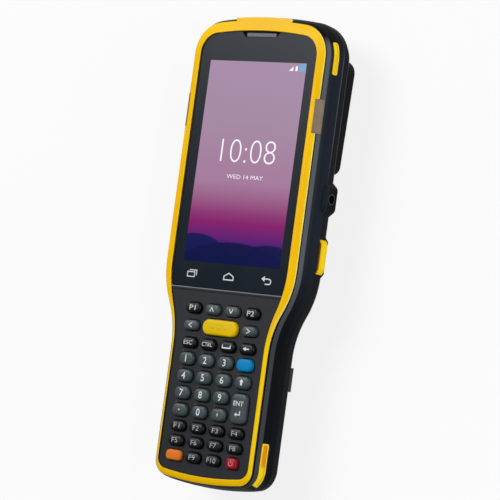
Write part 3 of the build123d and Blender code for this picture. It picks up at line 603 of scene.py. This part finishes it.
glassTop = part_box("touch_glass")[1]
earpiece = {"half": 8.4 * mm, "height": 1.7 * mm, "drop": 1.55 * mm, "corner": 0.3 * mm, "low": 1.15 * mm,
            "high": 0.35 * mm, "ribs": 15, "ribWidth": 0.5 * mm, "ribCorner": 0.1 * mm, "ribHigh": 0.2 * mm,
            "ribMargin": 0.2 * mm}   # drop: down from the glass's edge; low and high: under its face
bm = bmesh.new()   # ribbed earpiece cover in the glass's notch
place = Vector((0, glassTop.y - earpiece["drop"], 0))
roundedSlab(bm, place, 2 * earpiece["half"], earpiece["height"], earpiece["corner"],
            glassTop.z - earpiece["low"], glassTop.z - earpiece["high"])
ribSpacing = 2 * earpiece["half"] / (earpiece["ribs"] + 0.5)
for rib in range(earpiece["ribs"]):
    shift = (rib - (earpiece["ribs"] - 1) / 2) * ribSpacing
    roundedSlab(bm, place + Vector((shift, 0, 0)), earpiece["ribWidth"],
                earpiece["height"] - 2 * earpiece["ribMargin"], earpiece["ribCorner"],
                glassTop.z - earpiece["high"], glassTop.z - earpiece["ribHigh"])
finishPiece("earpieceCover", bm, plastics["fascia"], "case")

lens = {"radius": 2.3 * mm, "bulge": 0.5 * mm, "seat": 0.78 * mm, "arcStep": 10, "steps": 32}
low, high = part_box("camera_module")
bm = bmesh.new()   # the back camera's lens, bulging down out of its seat
spunDome(bm, Vector(((low.x + high.x) / 2, (low.y + high.y) / 2, low.z + lens["seat"])),
         lens["radius"], -lens["bulge"], lens["arcStep"], lens["steps"])
finishPiece("cameraLens", bm, glossy["lensGlass"], "case")
print("earpiece and lens done")

# the picture: a generic dusk gradient with overlapping discs
screen = {"width": 55.6 * mm, "height": 93.65 * mm, "topBorder": 2.6 * mm, "shift": 0.35 * mm,
          "corner": 0.3 * mm, "sink": 0.1 * mm, "rise": 0.02 * mm}   # under and over the glass's face
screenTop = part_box("display_module")[1].y - screen["topBorder"]
screenBottom = screenTop - screen["height"]
pictureLook = {"rough": 0.2, "shine": 0.1, "ior": 1.5, "cover": 0.96, "soft": 0.3}
pictureStops = [(0.0, "141058"), (0.05, "2a1468"), (0.1, "4a1a72"), (0.15, "6c1c70"), (0.2, "841c69"),
                (0.25, "8b3774"), (0.3, "965483"), (0.4, "a47a9b"), (0.7, "a488a2"), (1.0, "a689a8")]
pictureDiscs = [   # centre x, height over the picture's foot and radius in millimetres, colour
    (-22, -17, 30, "0a1450"), (21, -26, 36, "081049"), (0, -54, 64, "070e45"),
]


def litPicture():   # lit colour panel behind bonded glass: it shows its own light, with a little gloss
    material, tree = newTree("litPanel")
    place = addNode(tree, "ShaderNodeTexCoord").outputs["Object"]
    axes = addNode(tree, "ShaderNodeSeparateXYZ", None, {"Vector": place}).outputs
    rise = addNode(tree, "ShaderNodeMapRange", {"From Min": screenBottom, "From Max": screenTop},
                   {"Value": axes["Y"]})
    colour = addNode(tree, "ShaderNodeValToRGB", {"stops": pictureStops},
                     {"Fac": rise.outputs["Result"]}).outputs["Color"]
    flat = addNode(tree, "ShaderNodeCombineXYZ", None, {"X": axes["X"], "Y": axes["Y"]})
    for x, y, radius, tint in pictureDiscs:
        away = addNode(tree, "ShaderNodeVectorMath",
                       {"operation": "DISTANCE", 1: (x * mm, screenBottom + y * mm, 0)},
                       {0: flat.outputs["Vector"]})
        inside = addNode(tree, "ShaderNodeMapRange",
                         {"From Min": (radius - pictureLook["soft"]) * mm,
                          "From Max": (radius + pictureLook["soft"]) * mm, "To Min": pictureLook["cover"],
                          "To Max": 0.0}, {"Value": away.outputs["Value"]})
        colour = addNode(tree, "ShaderNodeMix", {"data_type": "RGBA", 7: hexColour(tint)},
                         {0: inside.outputs["Result"], 6: colour}).outputs["Result"]
    shader = addNode(tree, "ShaderNodeBsdfPrincipled",
                     {"Base Color": hexColour("000000"), "Roughness": pictureLook["rough"],
                      "IOR": pictureLook["ior"], "Specular IOR Level": pictureLook["shine"],
                      "Emission Strength": 1.0}, {"Emission Color": colour})
    addNode(tree, "ShaderNodeOutputMaterial", None, {"Surface": shader.outputs["BSDF"]})
    return material


litMarks = {"grain": 0.5 * mm, "rough": 0.3, "strength": 1.0}


def litMark(name, dark, light):   # marks lit from behind, on the panel or printed in the glass: almost even
    material, tree = newTree(name)
    place = addNode(tree, "ShaderNodeTexCoord").outputs["Object"]
    grain = addNode(tree, "ShaderNodeTexNoise", {"Scale": 1 / litMarks["grain"]}, {"Vector": place})
    colour = addNode(tree, "ShaderNodeValToRGB", {"stops": [(0.3, dark), (0.7, light)]},
                     {"Fac": grain.outputs["Fac"]})
    shader = addNode(tree, "ShaderNodeBsdfPrincipled",
                     {"Base Color": hexColour("000000"), "Roughness": litMarks["rough"],
                      "Emission Strength": litMarks["strength"]}, {"Emission Color": colour.outputs["Color"]})
    addNode(tree, "ShaderNodeOutputMaterial", None, {"Surface": shader.outputs["BSDF"]})
    return material


bm = bmesh.new()
roundedSlab(bm, Vector((screen["shift"], (screenTop + screenBottom) / 2, 0)), screen["width"],
            screen["height"], screen["corner"], glassTop.z - screen["sink"], glassTop.z + screen["rise"])
finishPiece("displayPicture", bm, litPicture(), "case")
whiteLit = litMark("litPanelWhite", "f0ecf4", "f4f0f8")
blueLit = litMark("litPanelBlue", "4a94c4", "4e98c8")
greyPrint = litMark("screenPrintGrey", "c6cace", "cacfd3")


def onScreen(x, down):   # a point on the picture, in millimetres from its middle and its top edge
    return Vector((x * mm, screenTop - down * mm, glassTop.z + screen["rise"]))


screenWords = {   # place on the picture, words, size
    "clockDigits": ((1.5, 41.5), "10:08", {"height": 10.6 * mm, "width": 31.5 * mm, "weight": -0.022}),
    "dateWords": ((1.5, 53.4), "WED 14 MAY", {"height": 1.9 * mm, "width": 21 * mm, "weight": -0.004}),
}
for name, (spot, words, look) in screenWords.items():
    textPiece(name, words, onScreen(*spot), {**look, "depth": 0.03 * mm, "ink": whiteLit})

statusSigns = {   # place on the picture, material, corner points in millimetres
    "signalSign": ((19.8, 2.6), whiteLit, [(-1.1, -1.0), (1.1, -1.0), (1.1, 1.0)]),
    "chargeSign": ((22.8, 2.5), whiteLit, [(-0.6, -1.1), (0.6, -1.1), (0.6, 0.9), (0.3, 0.9), (0.3, 1.2),
                                           (-0.3, 1.2), (-0.3, 0.9), (-0.6, 0.9)]),
    "profileSign": ((26.2, 2.2), blueLit, [(-1.8, -1.6), (1.8, -1.6), (1.8, 1.6), (-1.8, 1.6)]),
}
for name, (spot, ink, points) in statusSigns.items():
    signPiece(name, [points], onScreen(*spot), ink)

touchKeys = {"size": 1.1, "down": 6.0}   # down: from the picture's foot, in millimetres
touchSigns = {   # x, and corner points in millimetres from each one's middle before they are sized
    "touchSign28": (-21.5, [
        [(-2.6, -1.3), (1.2, -1.3), (1.2, -0.9), (-2.2, -0.9), (-2.2, 0.7), (1.2, 0.7), (1.2, 1.1),
         (-2.6, 1.1)],
        [(1.2, -1.3), (1.6, -1.3), (1.6, 1.1), (1.2, 1.1)],
        [(-1.4, 1.5), (2.2, 1.5), (2.2, -0.5), (2.6, -0.5), (2.6, 1.9), (-1.4, 1.9)]]),
    "touchSign50": (0.0, [
        [(-2.7, -1.3), (-2.2, -1.3), (-2.2, 0.3), (0.0, 1.5), (2.2, 0.3), (2.2, -1.3), (2.7, -1.3),
         (2.7, 0.5), (0.0, 2.0), (-2.7, 0.5)],
        [(-2.2, -1.3), (2.2, -1.3), (2.2, -0.8), (-2.2, -0.8)]]),
    "touchSign72": (21.8, [
        [(-2.7, 0.9), (-1.0, 2.1), (-1.0, 1.15), (1.2, 1.15), (1.2, 0.65), (-1.0, 0.65), (-1.0, -0.3)],
        [(1.2, 1.15), (2.0, 0.9), (2.5, 0.2), (2.5, -0.7), (2.0, -1.3), (1.2, -1.5), (-0.6, -1.5),
         (-0.6, -1.0), (1.2, -1.0), (1.8, -0.8), (2.0, -0.5), (2.0, 0.1), (1.7, 0.5), (1.2, 0.65)]]),
}
for name, (x, shapes) in touchSigns.items():
    sized = [[(touchKeys["size"] * across, touchKeys["size"] * up) for across, up in points]
             for points in shapes]
    signPiece(name, sized, onScreen(x, screen["height"] / mm + touchKeys["down"]), greyPrint)
print("display done")

stageLook = {"size": 8.0, "drop": 0.2 * mm, "dark": "fbfbfb", "light": "fefefe", "patches": 500 * mm,
             "rough": 0.9, "shine": 0.1, "glow": 0.85}


def paperSurface():   # coated studio paper: matt white, lifted towards white where it is seen or mirrored
    material, tree = newTree("floorPaper")
    place = addNode(tree, "ShaderNodeTexCoord").outputs["Object"]
    patches = addNode(tree, "ShaderNodeTexNoise", {"Scale": 1 / stageLook["patches"]}, {"Vector": place})
    colour = addNode(tree, "ShaderNodeValToRGB",
                     {"stops": [(0.0, stageLook["dark"]), (1.0, stageLook["light"])]},
                     {"Fac": patches.outputs["Fac"]}).outputs["Color"]
    paper = addNode(tree, "ShaderNodeBsdfPrincipled",
                    {"Roughness": stageLook["rough"], "Specular IOR Level": stageLook["shine"]},
                    {"Base Color": colour})
    glow = addNode(tree, "ShaderNodeEmission", {"Strength": 1.0}, {"Color": colour})
    rays = addNode(tree, "ShaderNodeLightPath").outputs
    seen = rays["Is Camera Ray"]
    for ray in ("Is Glossy Ray", "Is Transmission Ray"):
        seen = addNode(tree, "ShaderNodeMath", {"operation": "ADD"}, {0: seen, 1: rays[ray]}).outputs["Value"]
    share = addNode(tree, "ShaderNodeMath", {"operation": "MULTIPLY", 1: stageLook["glow"]}, {0: seen})
    mix = addNode(tree, "ShaderNodeMixShader", None, {0: share.outputs["Value"], 1: paper.outputs["BSDF"],
                                                      2: glow.outputs["Emission"]})
    addNode(tree, "ShaderNodeOutputMaterial", None, {"Surface": mix.outputs["Shader"]})
    return material


bm = bmesh.new()
bmesh.ops.create_grid(bm, x_segments=1, y_segments=1, size=stageLook["size"] / 2,
                      matrix=Matrix.Translation((0, 0, -stageLook["drop"])))
floorMesh = bpy.data.meshes.new("floor")
bm.to_mesh(floorMesh)
bm.free()
floorMesh.materials.append(paperSurface())
floor = bpy.data.objects.new("floor", floorMesh)
bpy.context.scene.collection.objects.link(floor)

lights = [   # name, place, width, height, power
    ("overheadSoft", (-1.7, 1.7, 3.9), 2.4, 2.4, 112.0),
    ("backStrip", (-2.1, 2.6, 1.5), 2.4, 0.9, 25.0),
    ("leftReflector", (-3.66, 2.15, 4.5), 2.6, 2.6, 72.0),
    ("rightStrip", (3.4, 0.6, 0.95), 3.4, 1.2, 44.0),
    ("edgeStrip", (3.1, 0.3, 2.35), 3.0, 0.3, 30.0),
]
for name, spot, width, height, power in lights:
    lamp = bpy.data.lights.new(name, "AREA")
    lamp.shape = "RECTANGLE"
    lamp.size = width
    lamp.size_y = height
    lamp.energy = power
    holder = bpy.data.objects.new(name, lamp)
    holder.location = spot
    holder.rotation_euler = (-Vector(spot)).to_track_quat("-Z", "Y").to_euler()   # towards the device
    bpy.context.scene.collection.objects.link(holder)

roomLight = {"colour": "ffffff", "strength": 0.12}
world = bpy.data.worlds.new("studio")
world.use_nodes = True
room = world.node_tree.nodes["Background"].inputs
room["Color"].default_value = hexColour(roomLight["colour"])
room["Strength"].default_value = roomLight["strength"]
bpy.context.scene.world = world

view = {"place": (0.7568, -0.0644, 0.9883), "turn": (8.958, 37.144, 9.649), "lens": 193.15, "near": 0.05,
        "far": 20}
cameraData = bpy.data.cameras.new("camera")
cameraData.lens = view["lens"]
cameraData.clip_start = view["near"]
cameraData.clip_end = view["far"]
camera = bpy.data.objects.new("camera", cameraData)
camera.location = view["place"]
camera.rotation_euler = [math.radians(angle) for angle in view["turn"]]
bpy.context.scene.collection.objects.link(camera)
bpy.context.scene.camera = camera
bpy.context.scene.view_settings.view_transform = "Standard"
print("stage, lights and camera set")

bpy.context.view_layer.update()
